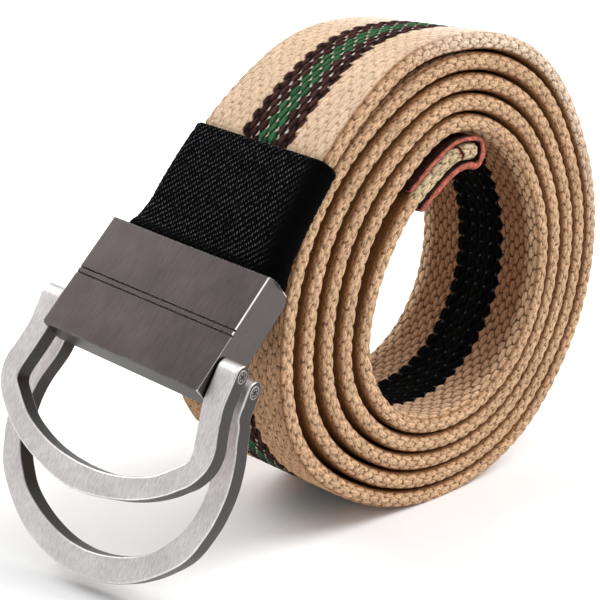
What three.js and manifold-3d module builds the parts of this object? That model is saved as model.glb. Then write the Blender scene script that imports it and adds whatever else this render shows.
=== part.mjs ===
// A rolled webbing belt that stands on its coil. The outer end runs down through a sleeve
// into a metal clamp, and two open rings hang from the clamp on cross pins.
// Millimetres and degrees. +Z is up and the coil's axis lies along Y.
import * as THREE from 'three';
import { mergeVertices } from 'three/addons/utils/BufferGeometryUtils.js';
import Module from 'manifold-3d';

const wasm = await Module();
wasm.setup();

// Webbing
const STRAP_WIDTH = 38;
const STRAP_THICK = 3.85;
const STRAP_EDGE = 0.9;
const TURN_GAP = 0.35;
const COIL_RADIUS = 56;
const COIL_TURNS = 5.035;
const TURN_STATIONS = 44;
const FOOT_PRESS = 0.7;
const FIT_GAP = 0.3;

// Leather round the inner end
const TIP_LEATHER = 1.2;
const TIP_LENGTH = 22;
const TIP_SAG = 1.6;

// Outer run, from the top of the coil to the clamp
const CREST_SHARE = 0.825;
const SLEEVE_LENGTH = 25.6;
const SLEEVE_BEND = 6;
const SLEEVE_WALL = 1.0;
const RUN_STEP = 2.4;

// Clamp
const CLAMP_WIDTH = 41.4;
const CLAMP_LENGTH = 26.9;
const CLAMP_THICK = 10.2;
const CLAMP_ASIDE = 1.3;
const CLAMP_BULGE = 0.6;
const POCKET_DEPTH = 5;
const POCKET_LEVEL = 4.6;
const GROOVE_AT = 12.4;
const GROOVE_WIDTH = 0.5;
const GROOVE_DEPTH = 0.45;
const GROOVE_PITCH = 1.25;
const FRONT_STEP = 0.2;

// Pins and rings
const PIN_RADIUS = 1.15;
const PIN_GAP = 0.3;
const PIN_SETBACK = 6.8;
const UPPER_PIN_LEVEL = 2.8;
const LOWER_PIN_LEVEL = 9.4;
const KNUCKLE_WALL = 1.3;
const RING_THICK = 4.4;
const RING_BAR = 5.0;
const RING_TIP_BAR = 5.4;
const RING_BEVEL = 0.35;
const UPPER_REACH = 33.4;
const UPPER_FLARE = 2.1;
const UPPER_ARM = 6.5;
const LOWER_REACH = 48;
const LOWER_FLARE = 3.2;
const LOWER_ARM = 5.5;
const LOWER_ANGLE = 23;
const RINGS_APART = 4.7;

// Outer face of the roll by direction, clockwise from the top as seen from the front:
// share of COIL_RADIUS where the roll starts, and share of one layer lost in each turn.
const COIL_FORM = [
  { direction: 0, radius: 0.976, layer: 1.04 },
  { direction: 30, radius: 1.002, layer: 1.14 },
  { direction: 60, radius: 0.959, layer: 1.09 },
  { direction: 90, radius: 0.948, layer: 1.08 },
  { direction: 120, radius: 0.939, layer: 1.01 },
  { direction: 150, radius: 0.96, layer: 1.01 },
  { direction: 180, radius: 0.964, layer: 1.0 },
  { direction: 210, radius: 0.989, layer: 1.08 },
  { direction: 240, radius: 1.034, layer: 1.33 },
  { direction: 270, radius: 0.97, layer: 1.34 },
  { direction: 300, radius: 0.938, layer: 1.29 },
  { direction: 330, radius: 0.938, layer: 1.19 },
];

// The crest of the outer run grows with the roll that it leaves.
const CREST_LENGTH = COIL_RADIUS * CREST_SHARE;

// Outer run: length of each stretch, then its slope, roll, sideways drift and share of the
// strap's width at the far end. The strap narrows where it enters the clamp.
const RUN_FORM = [
  { length: CREST_LENGTH / 2, slope: 26.1, roll: 0.5, drift: -7.3, wide: 1 },
  { length: CREST_LENGTH / 2, slope: 48.7, roll: 3.5, drift: 2.3, wide: 1 },
  { length: SLEEVE_LENGTH - SLEEVE_BEND, slope: 59.6, roll: 6.8, drift: 5.3, wide: 1 },
  { length: SLEEVE_BEND, slope: 43, roll: 13.5, drift: -2.5, wide: 1 },
  { length: FIT_GAP, slope: 43, roll: 13.5, drift: -2.5, wide: 0.937 },
  { length: POCKET_DEPTH, slope: 43, roll: 13.5, drift: -2.5, wide: 0.937 },
];

// Ring outlines past the straight arms: shares of the reach and of the half width.
const UPPER_OUTER = [
  [0.28, 0.944], [0.355, 0.965], [0.43, 0.993], [0.49, 1], [0.56, 0.989], [0.62, 0.958],
  [0.685, 0.905], [0.73, 0.845], [0.776, 0.782], [0.85, 0.648], [0.915, 0.479], [0.963, 0.29],
  [0.99, 0.14], [1, 0],
];
const UPPER_INNER = [
  [0.323, 0.918], [0.41, 0.943], [0.512, 0.975], [0.59, 0.998], [0.64, 0.998], [0.674, 0.978],
  [0.723, 0.918], [0.786, 0.834], [0.856, 0.724], [0.916, 0.568], [0.961, 0.4], [0.989, 0.21],
  [1, 0],
];
const LOWER_OUTER = [
  [0.154, 0.919], [0.201, 0.936], [0.261, 0.966], [0.318, 0.986], [0.39, 1], [0.446, 1],
  [0.501, 0.992], [0.563, 0.976], [0.626, 0.946], [0.692, 0.908], [0.749, 0.854], [0.825, 0.736],
  [0.891, 0.603], [0.947, 0.444], [0.977, 0.298], [0.996, 0.125], [1, 0],
];
const LOWER_INNER = [
  [0.208, 0.876], [0.277, 0.916], [0.346, 0.96], [0.416, 0.988], [0.492, 1], [0.564, 0.992],
  [0.651, 0.96], [0.718, 0.908], [0.776, 0.843], [0.861, 0.715], [0.933, 0.506], [0.979, 0.281],
  [0.998, 0.1], [1, 0],
];

// Sizes that follow from the ones above
const LAYER = STRAP_THICK + TURN_GAP;
const ARM_INNER = CLAMP_WIDTH / 2 + FIT_GAP;
const ARM_OUTER = ARM_INNER + RING_BAR;

const rad = THREE.MathUtils.degToRad;
const vec = (x, y, z) => new THREE.Vector3(x, y, z);

function metal(color, roughness) {
  return new THREE.MeshStandardMaterial({ color, roughness, metalness: 0.9 });
}

function cloth(color, roughness) {
  return new THREE.MeshStandardMaterial({ color, roughness, metalness: 0 });
}

// Smooth periodic reading of one column of the coil table.
function coilColumn(turn, column) {
  const count = COIL_FORM.length;
  const place = (turn - Math.floor(turn)) * count;
  const i = Math.floor(place);
  const t = place - i;
  const [a, b, c, d] = [-1, 0, 1, 2].map((k) => COIL_FORM[(i + k + count) % count][column]);
  return b + 0.5 * t * (c - a + t * (2 * a - 5 * b + 4 * c - d + t * (3 * (b - c) + d - a)));
}

// The last stretch leaves room for the leather that wraps the end, and sags off the turn
// above just before it.
function tipRoom(turn) {
  const share = THREE.MathUtils.smoothstep(turn, COIL_TURNS - 0.36, COIL_TURNS - 0.17);
  const sag = Math.exp(-(((turn - COIL_TURNS + 0.067) / 0.045) ** 2));
  return (TIP_LEATHER + FIT_GAP) * share + TIP_SAG * sag;
}

// Point of the strap's middle line in the roll, about the roll's centre.
function coilPoint(turn) {
  const outer = COIL_RADIUS * coilColumn(turn, 'radius') - LAYER * coilColumn(turn, 'layer') * turn;
  const r = outer - STRAP_THICK / 2 - tipRoom(turn);
  const angle = 2 * Math.PI * turn;
  return vec(r * Math.sin(angle), 0, r * Math.cos(angle));
}

function coilStation(turn) {
  const point = coilPoint(turn);
  const along = coilPoint(turn + 0.002).sub(coilPoint(turn - 0.002)).normalize();
  const normal = vec(-along.z, 0, along.x);
  return { point, normal, across: vec(0, 1, 0), wide: 1 };
}

function coilStations() {
  const count = Math.round(COIL_TURNS * TURN_STATIONS);
  return Array.from({ length: count + 1 }, (_, i) => coilStation((COIL_TURNS * i) / count));
}

// Frame of the outer run for a slope, a roll and a sideways drift.
function runFrame(point, slope, roll, drift) {
  const [p, q, r] = [slope, drift, roll].map(rad);
  const along = vec(-Math.cos(p) * Math.cos(q), Math.sin(q), -Math.sin(p) * Math.cos(q));
  const flat = vec(0, 1, 0).addScaledVector(along, -along.y).normalize();
  const lift = flat.clone().cross(along);
  const across = flat.clone().multiplyScalar(Math.cos(r)).addScaledVector(lift, Math.sin(r));
  const normal = lift.clone().multiplyScalar(Math.cos(r)).addScaledVector(flat, -Math.sin(r));
  return { point: point.clone(), along, across, normal };
}

// Stations of the outer run from the top of the roll to the end in the clamp.
function runStations() {
  const point = coilPoint(0);
  const stations = [];
  let from = { slope: 0, roll: 0, drift: 0, wide: 1 };
  RUN_FORM.forEach((to, stretch) => {
    const steps = Math.max(2, Math.ceil(to.length / RUN_STEP));
    const frameAt = (share) => {
      const mix = (key) => THREE.MathUtils.lerp(from[key], to[key], share);
      return { ...runFrame(point, mix('slope'), mix('roll'), mix('drift')), wide: mix('wide'), stretch };
    };
    for (let i = 1; i <= steps; i += 1) {
      point.addScaledVector(frameAt((i - 0.5) / steps).along, to.length / steps);
      stations.push(frameAt(i / steps));
    }
    from = to;
  });
  return stations;
}

// Flat oval loop round a station, with cut corners, this far outside the strap.
function loopRound(station, room, edge) {
  const w = (STRAP_WIDTH / 2) * station.wide + room;
  const t = STRAP_THICK / 2 + room;
  const e = Math.min(edge, t * 0.8);
  const offsets = [
    [w, -t + e], [w, t - e], [w - e, t], [-w + e, t],
    [-w, t - e], [-w, -t + e], [-w + e, -t], [w - e, -t],
  ];
  return offsets.map(([a, b]) => station.point.clone()
    .addScaledVector(station.across, a)
    .addScaledVector(station.normal, b));
}

function meshFrom(vertices, triangles) {
  const geometry = new THREE.BufferGeometry();
  const positions = vertices.flatMap((v) => [v.x, v.y, v.z]);
  geometry.setAttribute('position', new THREE.Float32BufferAttribute(positions, 3));
  geometry.setIndex(triangles);
  return geometry;
}

// Wall triangles between two rows of the same loop, facing the other way if turned.
function wall(triangles, rowA, rowB, count, turned = false) {
  for (let i = 0; i < count; i += 1) {
    const j = (i + 1) % count;
    const quad = [rowA + i, rowB + i, rowA + j, rowA + j, rowB + i, rowB + j];
    triangles.push(...(turned ? quad.reverse() : quad));
  }
}

// Closed body through a list of convex loops.
function loft(loops) {
  const count = loops[0].length;
  const triangles = [];
  for (let k = 0; k + 1 < loops.length; k += 1) {
    wall(triangles, k * count, (k + 1) * count, count);
  }
  const last = (loops.length - 1) * count;
  for (let i = 1; i + 1 < count; i += 1) {
    triangles.push(0, i, i + 1, last, last + i + 1, last + i);
  }
  return facingOut(meshFrom(loops.flat(), triangles));
}

// Tube with an outer and an inner loop at each station.
function tube(outerLoops, innerLoops) {
  const count = outerLoops[0].length;
  const rows = outerLoops.length;
  const inner = rows * count;
  const triangles = [];
  for (let k = 0; k + 1 < rows; k += 1) {
    wall(triangles, k * count, (k + 1) * count, count);
    wall(triangles, inner + k * count, inner + (k + 1) * count, count, true);
  }
  wall(triangles, inner, 0, count);
  wall(triangles, (rows - 1) * count, inner + (rows - 1) * count, count);
  return facingOut(meshFrom([...outerLoops, ...innerLoops].flat(), triangles));
}

function signedVolume(geometry) {
  const p = geometry.attributes.position;
  const index = geometry.index.array;
  const [a, b, c] = [vec(0, 0, 0), vec(0, 0, 0), vec(0, 0, 0)];
  let sum = 0;
  for (let i = 0; i < index.length; i += 3) {
    a.fromBufferAttribute(p, index[i]);
    b.fromBufferAttribute(p, index[i + 1]);
    c.fromBufferAttribute(p, index[i + 2]);
    sum += a.dot(b.cross(c));
  }
  return sum / 6;
}

function facingOut(geometry) {
  if (signedVolume(geometry) < 0) {
    geometry.setIndex(Array.from(geometry.index.array).reverse());
  }
  return geometry;
}

function solid(geometry) {
  const bare = geometry.clone();
  bare.deleteAttribute('normal');
  bare.deleteAttribute('uv');
  const merged = mergeVertices(bare, 1e-5);
  return new wasm.Manifold(new wasm.Mesh({
    numProp: 3,
    vertProperties: merged.attributes.position.array,
    triVerts: new Uint32Array(merged.index.array),
  }));
}

function geometryOf(body) {
  const mesh = body.getMesh();
  const geometry = new THREE.BufferGeometry();
  geometry.setAttribute('position', new THREE.BufferAttribute(new Float32Array(mesh.vertProperties), 3));
  geometry.setIndex(Array.from(mesh.triVerts));
  return geometry;
}

// Prism of a side outline, drawn as along and level, that runs across the belt.
function acrossPrism(points, halfWidth) {
  const shape = new THREE.Shape(points.map(([x, y]) => new THREE.Vector2(x, y)));
  const geometry = new THREE.ExtrudeGeometry(shape, { depth: 2 * halfWidth, bevelEnabled: false });
  geometry.translate(0, 0, -halfWidth);
  geometry.rotateX(Math.PI / 2);
  return geometry;
}

function disc(x, y, radius, from, to, steps) {
  return Array.from({ length: steps + 1 }, (_, i) => {
    const angle = rad(from + ((to - from) * i) / steps);
    return [x + radius * Math.cos(angle), y + radius * Math.sin(angle)];
  });
}

function crossRod(along, level, radius, halfWidth) {
  return acrossPrism(disc(along, level, radius, 0, 345, 23), halfWidth);
}

function box(x0, x1, y0, y1, z0, z1) {
  const geometry = new THREE.BoxGeometry(x1 - x0, y1 - y0, z1 - z0);
  geometry.translate((x0 + x1) / 2, (y0 + y1) / 2, (z0 + z1) / 2);
  return geometry;
}

// The webbing: outer run and roll in one band, pressed flat where it rests.
function strapGeometry(stations, floor) {
  const loops = stations.map((station) => loopRound(station, 0, STRAP_EDGE));
  loops.flat().forEach((v) => { v.z = Math.max(v.z, floor); });
  return loft(loops);
}

function sleeveGeometry(stations) {
  const first = stations.findIndex((s) => s.stretch === 2) - 1;
  const after = stations.findIndex((s) => s.stretch === 4);
  const covered = stations.slice(first, after);
  return tube(
    covered.map((s) => loopRound(s, FIT_GAP + SLEEVE_WALL, STRAP_EDGE + 0.4)),
    covered.map((s) => loopRound(s, FIT_GAP, STRAP_EDGE)),
  );
}

// Leather folded round the strap's inner end, over both faces.
function tipGeometry() {
  const lengthPerTurn = coilPoint(COIL_TURNS - 0.04).distanceTo(coilPoint(COIL_TURNS)) / 0.04;
  const start = COIL_TURNS - TIP_LENGTH / lengthPerTurn;
  const steps = 12;
  const near = STRAP_THICK / 2 + FIT_GAP;
  const far = near + TIP_LEATHER;
  const stations = Array.from({ length: steps + 1 }, (_, i) => (
    coilStation(start + ((COIL_TURNS - start) * i) / steps)));
  const side = (offset) => stations.map((s) => s.point.clone().addScaledVector(s.normal, offset));
  const end = stations[steps];
  const along = vec(end.normal.z, 0, -end.normal.x);
  const cap = (reach, ahead) => [60, 20, -20, -60].map((a) => end.point.clone()
    .addScaledVector(end.normal, reach * Math.sin(rad(a)))
    .addScaledVector(along, ahead * Math.cos(rad(a)) + FIT_GAP));
  const outline = [
    ...side(far), ...cap(far, far * 0.8), ...side(-far).reverse(),
    ...side(-near), ...square(end, along, near), ...side(near).reverse(),
  ];
  const geometry = acrossPrism(outline.map((v) => [v.x, v.z]), STRAP_WIDTH / 2);
  return geometry;
}

function square(end, along, near) {
  return [-near, near].map((offset) => end.point.clone()
    .addScaledVector(end.normal, offset)
    .addScaledVector(along, FIT_GAP));
}

// Side outline of the clamp: along is towards the rings, level is down from the top face.
function clampOutline() {
  const back = -CLAMP_LENGTH;
  const deep = -CLAMP_THICK;
  const knuckle = PIN_RADIUS + PIN_GAP + KNUCKLE_WALL;
  const drop = Math.max(-LOWER_PIN_LEVEL - deep, -knuckle * 0.9);
  const half = Math.sqrt(Math.max(knuckle * knuckle - drop * drop, 0.01));
  const turn = THREE.MathUtils.radToDeg(Math.atan2(-drop, half));
  const bump = disc(-PIN_SETBACK, -LOWER_PIN_LEVEL, knuckle, 180 - turn, 360 + turn, 10);
  return [
    [-0.35, 0], [0, -0.35], [0, -CLAMP_THICK * 0.72], [-1.8, deep],
    ...bump.reverse(),
    [back + 1.1, deep], [back - CLAMP_BULGE, deep + 1.5], [back - CLAMP_BULGE, deep * 0.35],
    [back, -0.35], [back + 0.35, 0],
  ];
}

function clampGeometry() {
  const half = CLAMP_WIDTH / 2;
  const over = 2;
  let body = solid(acrossPrism(clampOutline(), half));
  const groove = (at) => box(-at - GROOVE_WIDTH, -at, -half - over, half + over, -GROOVE_DEPTH, over);
  const cuts = [
    groove(GROOVE_AT),
    groove(GROOVE_AT + GROOVE_PITCH),
    box(-GROOVE_AT, over, -half - over, half + over, -FRONT_STEP, over),
    crossRod(-PIN_SETBACK, -UPPER_PIN_LEVEL, PIN_RADIUS + PIN_GAP, half + over),
    crossRod(-PIN_SETBACK, -LOWER_PIN_LEVEL, PIN_RADIUS + PIN_GAP, half + over),
    pocketGeometry(over),
  ];
  cuts.forEach((cut) => { body = body.subtract(solid(cut)); });
  return geometryOf(body);
}

// Slot in the clamp's back that takes the end of the strap.
function pocketGeometry(over) {
  const back = -CLAMP_LENGTH - CLAMP_BULGE;
  const wide = (STRAP_WIDTH / 2) * RUN_FORM[RUN_FORM.length - 1].wide + FIT_GAP;
  const high = STRAP_THICK / 2 + FIT_GAP;
  const floor = back + POCKET_DEPTH + 2 * FIT_GAP;
  const [left, right] = [-CLAMP_ASIDE - wide, -CLAMP_ASIDE + wide];
  return box(back - over, floor, left, right, -POCKET_LEVEL - high, -POCKET_LEVEL + high);
}

// Half outline of a ring in its own plane: the straight arm, then the rows of a table.
function ringSide(rows, reach, half, arm, armLength) {
  const straight = [[-RING_THICK / 2, arm], [0, arm], [armLength, arm]];
  return [...straight, ...rows.map(([a, b]) => [a * reach, b * half])];
}

// Whole smooth outline from one arm's end round to the other's.
function ringCurve(side, steps) {
  const mirrored = side.slice(0, -1).reverse().map(([a, b]) => [a, -b]);
  const points = [...side, ...mirrored].map(([a, b]) => vec(a, b, 0));
  const curve = new THREE.CatmullRomCurve3(points, false, 'centripetal');
  return curve.getSpacedPoints(steps).map((p) => new THREE.Vector2(p.x, p.y));
}

function ringOutlines(form) {
  const outerHalf = ARM_OUTER + form.flare;
  const innerHalf = outerHalf - form.innerBar;
  const outer = ringSide(form.outer, form.reach, outerHalf, ARM_OUTER, form.arm);
  const inner = ringSide(form.inner, form.reach - RING_TIP_BAR, innerHalf, ARM_INNER, form.arm);
  return { outer: ringCurve(outer, 72), inner: ringCurve(inner, 72) };
}

const UPPER_RING = {
  reach: UPPER_REACH, flare: UPPER_FLARE, arm: UPPER_ARM, innerBar: RING_BAR * 0.93,
  outer: UPPER_OUTER, inner: UPPER_INNER,
};
const LOWER_RING = {
  reach: LOWER_REACH, flare: LOWER_FLARE, arm: LOWER_ARM, innerBar: RING_BAR * 0.92,
  outer: LOWER_OUTER, inner: LOWER_INNER,
};

// Flat open ring about its pin: softened edges, round arm ends and pin holes.
function ringGeometry(form) {
  const { outer, inner } = ringOutlines(form);
  const e = RING_BEVEL;
  const plate = new THREE.ExtrudeGeometry(new THREE.Shape([...outer, ...inner.reverse()]), {
    depth: RING_THICK - 2 * e, bevelThickness: e, bevelSize: e, bevelOffset: -e, bevelSegments: 2,
  });
  plate.translate(0, 0, -RING_THICK / 2 + e);
  const r = RING_THICK / 2;
  const wide = ARM_OUTER + form.flare + 2;
  const far = form.reach + 2;
  const keep = acrossPrism([...disc(0, 0, r, 90, 270, 12), [far, -r], [far, r]], wide);
  const hole = crossRod(0, 0, PIN_RADIUS + PIN_GAP, wide);
  return geometryOf(solid(plate).intersect(solid(keep)).subtract(solid(hole)));
}

// Frame of the clamp, with its origin in the middle of the front edge of the top face.
function clampFrame(end) {
  const intoClamp = POCKET_DEPTH - CLAMP_BULGE;
  const point = end.point.clone()
    .addScaledVector(end.along, CLAMP_LENGTH - intoClamp)
    .addScaledVector(end.normal, POCKET_LEVEL)
    .addScaledVector(end.across, CLAMP_ASIDE);
  return new THREE.Matrix4()
    .makeBasis(end.along, end.across, end.normal)
    .setPosition(point);
}

function pinFrame(clamp, level) {
  return clamp.clone().multiply(new THREE.Matrix4().makeTranslation(-PIN_SETBACK, 0, -level));
}

function ringFrame(clamp, level, angle) {
  return pinFrame(clamp, level).multiply(new THREE.Matrix4().makeRotationY(rad(angle)));
}

function lowestPoint(geometry, frame) {
  const p = geometry.attributes.position;
  const v = vec(0, 0, 0);
  let low = Infinity;
  for (let i = 0; i < p.count; i += 1) {
    low = Math.min(low, v.fromBufferAttribute(p, i).applyMatrix4(frame).z);
  }
  return low;
}

// Angle of the lower ring: the one it is left at, or less where its rim meets the floor first.
function lowerRingAngle(geometry, clamp, floor) {
  let [low, high] = [LOWER_ANGLE - 90, LOWER_ANGLE];
  for (let i = 0; i < 40; i += 1) {
    const middle = (low + high) / 2;
    const z = lowestPoint(geometry, ringFrame(clamp, LOWER_PIN_LEVEL, middle));
    if (z > floor) low = middle;
    else high = middle;
  }
  return low;
}

function place(name, geometry, material, frame) {
  const mesh = new THREE.Mesh(geometry, material);
  mesh.name = name;
  if (frame) {
    frame.decompose(mesh.position, mesh.quaternion, mesh.scale);
  }
  return mesh;
}

function build() {
  const run = runStations();
  const coil = coilStations();
  const stations = [...run.slice().reverse(), ...coil];
  const bottom = Math.min(...coil.map((s) => s.point.z - STRAP_THICK / 2));
  const floor = bottom + FOOT_PRESS;
  const clamp = clampFrame(run[run.length - 1]);
  const pin = acrossPrism(disc(0, 0, PIN_RADIUS, 0, 345, 23), ARM_OUTER);
  const upperRing = ringGeometry(UPPER_RING);
  const lowerRing = ringGeometry(LOWER_RING);
  const lowerAngle = lowerRingAngle(lowerRing, clamp, floor);
  const upperAngle = lowerAngle - RINGS_APART;
  const group = new THREE.Group();
  group.add(
    place('webbing_strap', strapGeometry(stations, floor), cloth(0xe0c49c, 0.9)),
    place('leather_tip', tipGeometry(), cloth(0xa8553f, 0.6)),
    place('strap_sleeve', sleeveGeometry(run), cloth(0x141416, 0.85)),
    place('buckle_clamp', clampGeometry(), metal(0x7b7472, 0.4), clamp),
    place('upper_pin', pin.clone(), metal(0x8a8682, 0.4), pinFrame(clamp, UPPER_PIN_LEVEL)),
    place('lower_pin', pin.clone(), metal(0x8a8682, 0.4), pinFrame(clamp, LOWER_PIN_LEVEL)),
    place('upper_ring', upperRing, metal(0xc4bfbc, 0.35), ringFrame(clamp, UPPER_PIN_LEVEL, upperAngle)),
    place('lower_ring', lowerRing, metal(0xc4bfbc, 0.35), ringFrame(clamp, LOWER_PIN_LEVEL, lowerAngle)),
  );
  group.updateMatrixWorld(true);
  const bounds = new THREE.Box3().setFromObject(group, true);
  const middle = bounds.getCenter(vec(0, 0, 0));
  group.position.set(-middle.x, -middle.y, -bounds.min.z);
  return group;
}

export default build();
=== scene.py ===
"""Looks of a rolled webbing belt with a black sleeve, a metal clamp and two open rings."""
import math

import bmesh
import bpy
import numpy as np
from mathutils import Matrix, Vector


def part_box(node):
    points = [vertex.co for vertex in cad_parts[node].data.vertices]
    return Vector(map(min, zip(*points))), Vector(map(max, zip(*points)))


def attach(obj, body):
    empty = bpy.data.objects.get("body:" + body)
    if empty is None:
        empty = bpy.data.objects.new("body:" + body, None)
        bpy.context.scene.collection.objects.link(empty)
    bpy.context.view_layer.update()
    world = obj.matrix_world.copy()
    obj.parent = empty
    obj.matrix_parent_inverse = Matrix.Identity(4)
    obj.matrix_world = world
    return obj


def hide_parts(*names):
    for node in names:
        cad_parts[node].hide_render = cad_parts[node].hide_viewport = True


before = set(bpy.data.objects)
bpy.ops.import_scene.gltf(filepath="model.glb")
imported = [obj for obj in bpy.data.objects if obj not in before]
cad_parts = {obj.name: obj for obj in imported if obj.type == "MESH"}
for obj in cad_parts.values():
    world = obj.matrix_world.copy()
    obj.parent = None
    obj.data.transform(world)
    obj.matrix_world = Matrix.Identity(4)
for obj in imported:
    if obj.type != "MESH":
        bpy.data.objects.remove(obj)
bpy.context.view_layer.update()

MM = 0.001

# Sizes in mm, the same as the CAD source's.
STRAP_WIDTH = 38.0
STRAP_THICK = 3.85
TURN_GAP = 0.35
COIL_RADIUS = 56.0
COIL_TURNS = 5.035
TURN_STATIONS = 44
TURN_STEP = 0.002
LINE_POINTS = 1800
FOOT_PRESS = 0.7
FIT_GAP = 0.3
TIP_LEATHER = 1.2
TIP_LENGTH = 22.0
TIP_SAG = 1.6
# Turns before the roll's inner end where it makes room for the leather, and where it sags.
TIP_ROOM_FROM, TIP_ROOM_TO = 0.36, 0.17
SAG_AT, SAG_WIDTH = 0.067, 0.045
CREST_LENGTH = COIL_RADIUS * 0.825
SLEEVE_LENGTH = 25.6
SLEEVE_BEND = 6.0
SLEEVE_WALL = 1.0
RUN_STEP = 2.4
CLAMP_WIDTH = 41.4
CLAMP_LENGTH = 26.9
CLAMP_ASIDE = 1.3
CLAMP_BULGE = 0.6
POCKET_DEPTH = 5.0
POCKET_LEVEL = 4.6
PIN_RADIUS = 1.15
PIN_SETBACK = 6.8
UPPER_PIN_LEVEL = 2.8
LOWER_PIN_LEVEL = 9.4
RING_THICK = 4.4
RING_BAR = 5.0
RING_TIP_BAR = 5.4
UPPER_REACH = 33.4
UPPER_FLARE = 2.1
UPPER_ARM = 6.5
LOWER_REACH = 48.0
LOWER_FLARE = 3.2
LOWER_ARM = 5.5
LAYER = STRAP_THICK + TURN_GAP
ARM_INNER = CLAMP_WIDTH / 2 + FIT_GAP
ARM_OUTER = ARM_INNER + RING_BAR

# radius share and layer share for every 30 degrees, clockwise from the top
COIL_FORM = np.array([
    (0.976, 1.04), (1.002, 1.14), (0.959, 1.09), (0.948, 1.08), (0.939, 1.01), (0.96, 1.01),
    (0.964, 1.0), (0.989, 1.08), (1.034, 1.33), (0.97, 1.34), (0.938, 1.29), (0.938, 1.19),
])
# length, slope, roll, drift and width share at each stretch's far end
RUN_FORM = [
    (CREST_LENGTH / 2, 26.1, 0.5, -7.3, 1),
    (CREST_LENGTH / 2, 48.7, 3.5, 2.3, 1),
    (SLEEVE_LENGTH - SLEEVE_BEND, 59.6, 6.8, 5.3, 1),
    (SLEEVE_BEND, 43, 13.5, -2.5, 1),
    (FIT_GAP, 43, 13.5, -2.5, 0.937),
    (POCKET_DEPTH, 43, 13.5, -2.5, 0.937),
]
UPPER_OUTER = [
    (0.28, 0.944), (0.355, 0.965), (0.43, 0.993), (0.49, 1), (0.56, 0.989), (0.62, 0.958),
    (0.685, 0.905), (0.73, 0.845), (0.776, 0.782), (0.85, 0.648), (0.915, 0.479), (0.963, 0.29),
    (0.99, 0.14), (1, 0),
]
UPPER_INNER = [
    (0.323, 0.918), (0.41, 0.943), (0.512, 0.975), (0.59, 0.998), (0.64, 0.998), (0.674, 0.978),
    (0.723, 0.918), (0.786, 0.834), (0.856, 0.724), (0.916, 0.568), (0.961, 0.4), (0.989, 0.21),
    (1, 0),
]
LOWER_OUTER = [
    (0.154, 0.919), (0.201, 0.936), (0.261, 0.966), (0.318, 0.986), (0.39, 1), (0.446, 1),
    (0.501, 0.992), (0.563, 0.976), (0.626, 0.946), (0.692, 0.908), (0.749, 0.854), (0.825, 0.736),
    (0.891, 0.603), (0.947, 0.444), (0.977, 0.298), (0.996, 0.125), (1, 0),
]
LOWER_INNER = [
    (0.208, 0.876), (0.277, 0.916), (0.346, 0.96), (0.416, 0.988), (0.492, 1), (0.564, 0.992),
    (0.651, 0.96), (0.718, 0.908), (0.776, 0.843), (0.861, 0.715), (0.933, 0.506), (0.979, 0.281),
    (0.998, 0.1), (1, 0),
]


def srgb(r, g, b):
    """A shader colour from 0 to 255 display values."""
    shares = (c / 255 for c in (r, g, b))
    linear = [c / 12.92 if c <= 0.04045 else ((c + 0.055) / 1.055) ** 2.4 for c in shares]
    return (*linear, 1.0)


def gray(v):
    return (v, v, v, 1.0)


def tone(r, g, b):
    """The same colour as an array, for a mesh's tints."""
    return np.array(srgb(r, g, b)[:3])


def unit(v):
    return v / np.linalg.norm(v, axis=-1, keepdims=True)


def smoothstep(x, a, b):
    t = np.clip((x - a) / (b - a), 0, 1)
    return t * t * (3 - 2 * t)


def lengths_along(points):
    """Arc length at each point of a line."""
    return np.concatenate([[0], np.cumsum(np.linalg.norm(np.diff(points, axis=0), axis=1))])


def read_at(at, s, rows):
    """Rows of values at new places, read straight between those at s."""
    return np.stack([np.interp(at, s, column) for column in rows.T], 1)


def coil_column(turn, column):
    place = (turn % 1) * len(COIL_FORM)
    i = np.floor(place).astype(int)
    t = place - i
    a, b, c, d = [COIL_FORM[(i + k) % len(COIL_FORM), column] for k in (-1, 0, 1, 2)]
    return b + 0.5 * t * (c - a + t * (2 * a - 5 * b + 4 * c - d + t * (3 * (b - c) + d - a)))


def coil_points(turn):
    turn = np.asarray(turn, float)
    outer = COIL_RADIUS * coil_column(turn, 0) - LAYER * coil_column(turn, 1) * turn
    room = (TIP_LEATHER + FIT_GAP) * smoothstep(turn, COIL_TURNS - TIP_ROOM_FROM,
                                                COIL_TURNS - TIP_ROOM_TO)
    room = room + TIP_SAG * np.exp(-((turn - COIL_TURNS + SAG_AT) / SAG_WIDTH) ** 2)
    r = outer - STRAP_THICK / 2 - room
    angle = 2 * np.pi * turn
    return np.stack([r * np.sin(angle), np.zeros_like(r), r * np.cos(angle)], -1)


def coil_frames(turn):
    point = coil_points(turn)
    along = unit(coil_points(turn + TURN_STEP) - coil_points(turn - TURN_STEP))
    normal = np.stack([-along[:, 2], np.zeros(len(along)), along[:, 0]], -1)
    across = np.tile([0.0, 1.0, 0.0], (len(point), 1))
    return point, across, normal, np.ones(len(point))


def run_frame(slope, roll, drift):
    p, q, r = np.radians([slope, drift, roll])
    along = np.array([-np.cos(p) * np.cos(q), np.sin(q), -np.sin(p) * np.cos(q)])
    flat = unit(np.array([0, 1, 0]) - along[1] * along)
    lift = np.cross(flat, along)
    across = flat * np.cos(r) + lift * np.sin(r)
    normal = lift * np.cos(r) - flat * np.sin(r)
    return along, across, normal


def run_stations():
    point = coil_points(np.array([0.0]))[0]
    rows = []
    before = np.array([0, 0, 0, 1.0])
    for stretch, (length, *after) in enumerate(RUN_FORM):
        after = np.array(after, float)
        steps = max(2, math.ceil(length / RUN_STEP))
        for i in range(1, steps + 1):
            middle = before + (after - before) * (i - 0.5) / steps
            point = point + run_frame(*middle[:3])[0] * length / steps
            end = before + (after - before) * i / steps
            along, across, normal = run_frame(*end[:3])
            rows.append((point, along, across, normal, end[3], stretch))
        before = after
    return rows


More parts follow.
